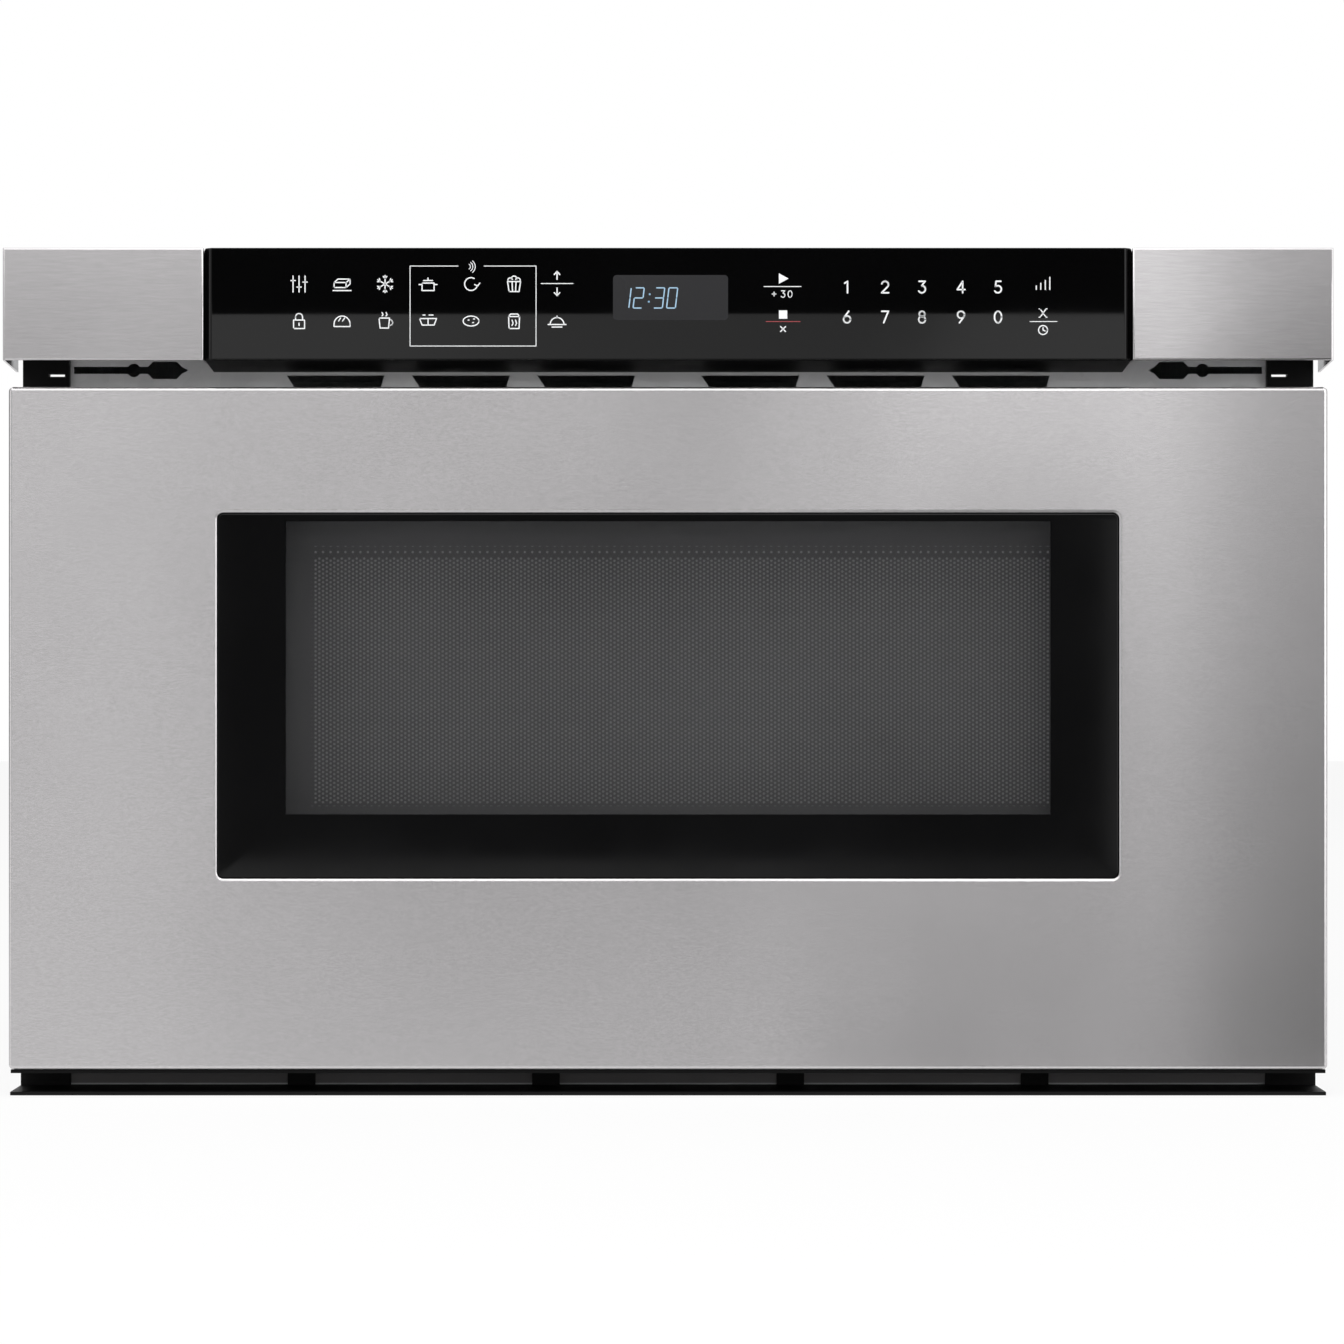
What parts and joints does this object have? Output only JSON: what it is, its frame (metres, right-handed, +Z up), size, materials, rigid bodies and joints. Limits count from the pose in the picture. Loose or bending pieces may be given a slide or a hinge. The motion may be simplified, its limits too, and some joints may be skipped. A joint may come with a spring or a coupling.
{
  "type": "microwave drawer",
  "caption": "Built-in microwave oven whose steel-fronted drawer slides out of a fixed body under a glass touch panel.",
  "frame": {"origin": "centre of the bounding box's underside, where the base pan stands", "axes": "+X right along the control panel, +Y to the back, +Z up"},
  "size_m": [0.6064, 0.5938, 0.3874],
  "materials": {
    "steel_brushed": "fine horizontal brushing, satin",
    "steel_galvanised": "galvanised sheet, dull",
    "glass_black": "black printed glass, polished",
    "glass_window": "smoked window glass with a black printed border",
    "plastic_black": "moulded, fine grain",
    "plastic_white": "moulded nylon",
    "film_clear": "clear barrier film",
    "enamel_grey": "light grey cavity paint",
    "screen_grey": "perforated sheet, dark paint",
    "circuit_green": "solder-masked board",
    "display_dark": "display window",
    "winding_brown": "varnished windings and laminated core"
  },
  "bodies": {
    "chassis": {"base_pan": "steel_galvanised", "outer_cabinet": "steel_galvanised", "rear_cover": "steel_galvanised", "cord_gland": "plastic_black", "front_frame": "steel_galvanised", "lower_vent_trim": "plastic_black", "side_post_left": "plastic_black", "side_post_right": "plastic_black", "control_housing": "plastic_black", "touch_glass": "glass_black", "display_module": "display_dark", "control_board": "circuit_green", "end_trim_left": "steel_brushed", "end_trim_right": "steel_brushed", "cavity_liner": "enamel_grey", "stirrer_cover": "plastic_white", "waveguide": "steel_galvanised", "stirrer_motor": "steel_galvanised", "magnetron": "steel_galvanised", "thermal_cutout": "plastic_black", "oven_lamp": "plastic_white", "fan_housing": "plastic_black", "fan_motor": "steel_galvanised", "air_duct": "plastic_black", "transformer": "winding_brown", "capacitor": "steel_galvanised", "capacitor_clamp": "steel_galvanised", "noise_filter_board": "circuit_green", "drive_motor": "steel_galvanised", "pinion_bearing": "steel_galvanised", "interlock_switch_left": "plastic_black", "interlock_switch_right": "plastic_black", "slide_outer_left": "steel_galvanised", "slide_outer_right": "steel_galvanised"},
    "drawer": {"drawer_front_skin": "steel_brushed", "drawer_inner_frame": "plastic_black", "window_glass": "glass_window", "window_screen": "screen_grey", "barrier_sheet": "film_clear", "choke_cover": "plastic_black", "drawer_pan": "enamel_grey", "drive_rack": "plastic_white", "pan_glide_left": "plastic_white", "pan_glide_right": "plastic_white", "latch_hook_left": "plastic_white", "latch_hook_right": "plastic_white", "slide_inner_left": "steel_galvanised", "slide_inner_right": "steel_galvanised"},
    "middle_slide_left": {"slide_middle_left": "steel_galvanised"},
    "middle_slide_right": {"slide_middle_right": "steel_galvanised"},
    "pinion": {"drive_pinion": "plastic_white"},
    "fan_wheel": {"fan_blade": "plastic_black"},
    "stirrer": {"stirrer_fan": "steel_galvanised"},
    "plunger_left": {"interlock_plunger_left": "plastic_white"},
    "plunger_right": {"interlock_plunger_right": "plastic_white"}
  },
  "joints": [
    {"name": "drawer_slide", "type": "slide", "parent": "chassis", "child": "drawer", "axis": [0, -1, 0], "range_m": [0, 0.381]},
    {"name": "middle_slide_left_travel", "type": "slide", "parent": "chassis", "child": "middle_slide_left", "axis": [0, -1, 0], "range_m": [0, 0.1905]},
    {"name": "middle_slide_right_travel", "type": "slide", "parent": "chassis", "child": "middle_slide_right", "axis": [0, -1, 0], "range_m": [0, 0.1905]},
    {"name": "pinion_spin", "type": "hinge", "parent": "chassis", "child": "pinion", "pos_m": [0, -0.2153, 0.028], "axis": [1, 0, 0], "range_deg": [0, 1456]},
    {"name": "fan_spin", "type": "hinge", "parent": "chassis", "child": "fan_wheel", "pos_m": [-0.19, 0.2439, 0.1], "axis": [0, 1, 0], "continuous": true},
    {"name": "stirrer_spin", "type": "hinge", "parent": "chassis", "child": "stirrer", "pos_m": [0, -0.04, 0.27], "axis": [0, 0, 1], "continuous": true},
    {"name": "plunger_left_travel", "type": "slide", "parent": "chassis", "child": "plunger_left", "axis": [0, -1, 0], "range_m": [0, 0.002]},
    {"name": "plunger_right_travel", "type": "slide", "parent": "chassis", "child": "plunger_right", "axis": [0, -1, 0], "range_m": [0, 0.002]}
  ],
  "couplings": [
    {"joint": "middle_slide_left_travel", "follows": "drawer_slide", "ratio": 0.5},
    {"joint": "middle_slide_right_travel", "follows": "drawer_slide", "ratio": 0.5},
    {"joint": "pinion_spin", "follows": "drawer_slide", "rad_per_m": 66.667},
    {"joint": "plunger_left_travel", "follows": "drawer_slide", "ratio": 0.005},
    {"joint": "plunger_right_travel", "follows": "drawer_slide", "ratio": 0.005}
  ]
}
